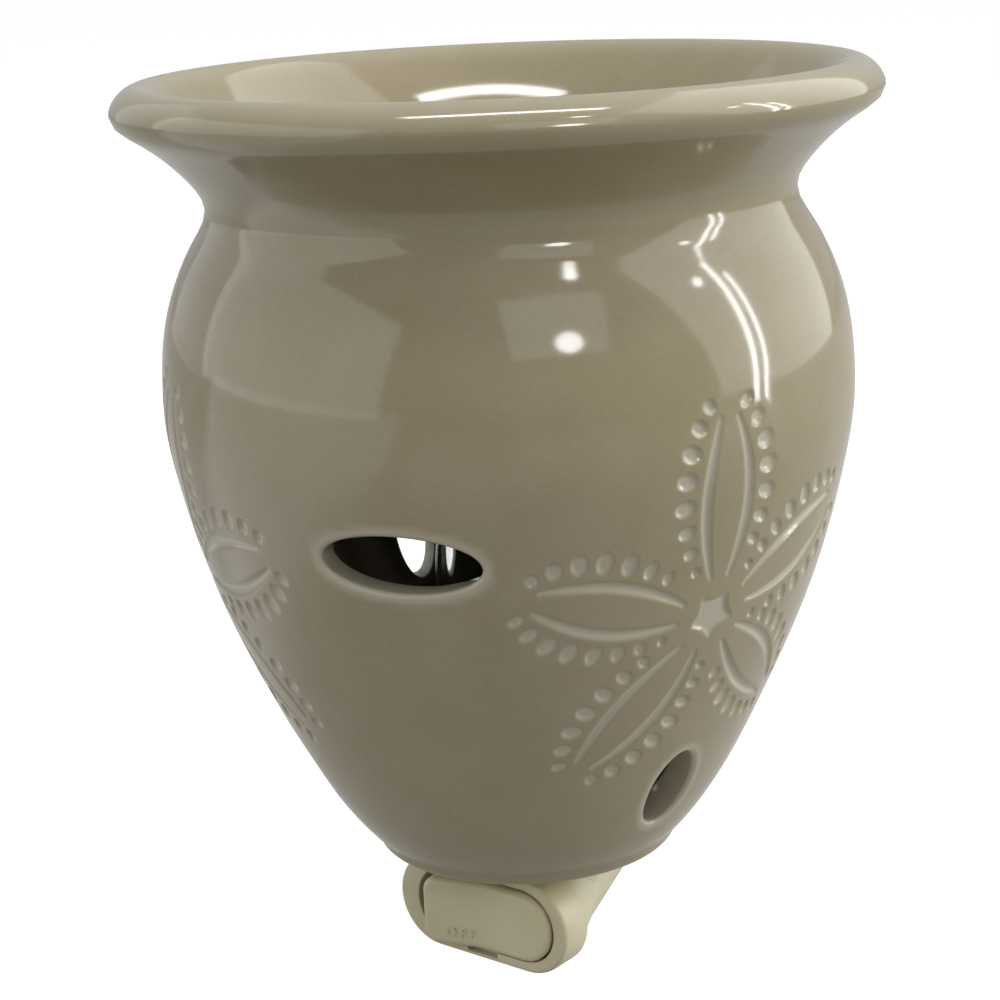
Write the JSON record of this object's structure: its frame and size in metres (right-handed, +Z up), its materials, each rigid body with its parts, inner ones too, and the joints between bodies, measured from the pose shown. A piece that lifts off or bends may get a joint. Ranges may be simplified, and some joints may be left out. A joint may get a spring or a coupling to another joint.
{
  "type": "plug-in wax melt warmer",
  "caption": "Urn-shaped glazed ceramic warmer with an integral wax dish over a night-light bulb, on a swivel-plug base with a rocker switch.",
  "frame": {"origin": "centre of the plug disc's back face, on the wall plane", "axes": "+Y into the wall, +Z up along the lamp, front faces -Y"},
  "size_m": [0.0986, 0.1183, 0.1266],
  "materials": {
    "glaze": "glossy warm taupe glaze",
    "cream": "satin ivory moulding",
    "steel": "zinc plated",
    "spring_steel": "bright spring strip",
    "nickel": "nickel plate",
    "brass": "plain brass",
    "socket_white": "heat-proof moulding",
    "cap_glass": "black vitrite",
    "solder": "solder",
    "clear_glass": "clear",
    "tungsten": "wire"
  },
  "bodies": {
    "base": {"housing_upper": "cream", "housing_lower": "cream", "housing_screws": "steel", "switch_case": "cream", "rocker_pin": "steel", "terminal_line": "brass", "terminal_lamp": "brass", "strip_line": "brass", "strip_neutral": "brass", "socket_insulator": "socket_white", "socket_shell": "brass", "socket_centre_contact": "brass", "shade_clip_right": "spring_steel", "shade_clip_left": "spring_steel", "clip_screws": "steel"},
    "rocker": {"switch_rocker": "cream", "rocker_bridge": "brass"},
    "plug": {"plug_disc": "cream", "blade_line": "nickel", "blade_neutral": "nickel", "hub_contact": "brass", "slip_ring": "brass"},
    "shade": {"ceramic_shade": "glaze"},
    "lamp_cap": {"bulb_cap": "brass", "bulb_insulator": "cap_glass", "bulb_tip": "solder"},
    "lamp_glass": {"bulb_glass": "clear_glass", "bulb_stem": "clear_glass", "bulb_leads": "nickel", "bulb_filament": "tungsten"}
  },
  "joints": [
    {"name": "shade_lift", "type": "slide", "parent": "base", "child": "shade", "axis": [0, 0, 1], "range_m": [0, 0.07]},
    {"name": "rocker_tilt", "type": "hinge", "parent": "base", "child": "rocker", "pos_m": [-0.00298, -0.05996, 0], "axis": [0, 0, 1], "range_deg": [-18, 0]},
    {"name": "plug_swivel", "type": "hinge", "parent": "base", "child": "plug", "pos_m": [0, 0, 0], "axis": [0, 1, 0], "range_deg": [0, 90]},
    {"name": "bulb_rise", "type": "slide", "parent": "base", "child": "lamp_cap", "axis": [0, 0, 1], "range_m": [0, 0.0127]},
    {"name": "bulb_turn", "type": "hinge", "parent": "lamp_cap", "child": "lamp_glass", "pos_m": [0, -0.052, 0], "axis": [0, 0, 1], "range_deg": [0, 1801]}
  ],
  "couplings": [
    {"joint": "bulb_turn", "follows": "bulb_rise", "rad_per_m": 2473.7}
  ]
}
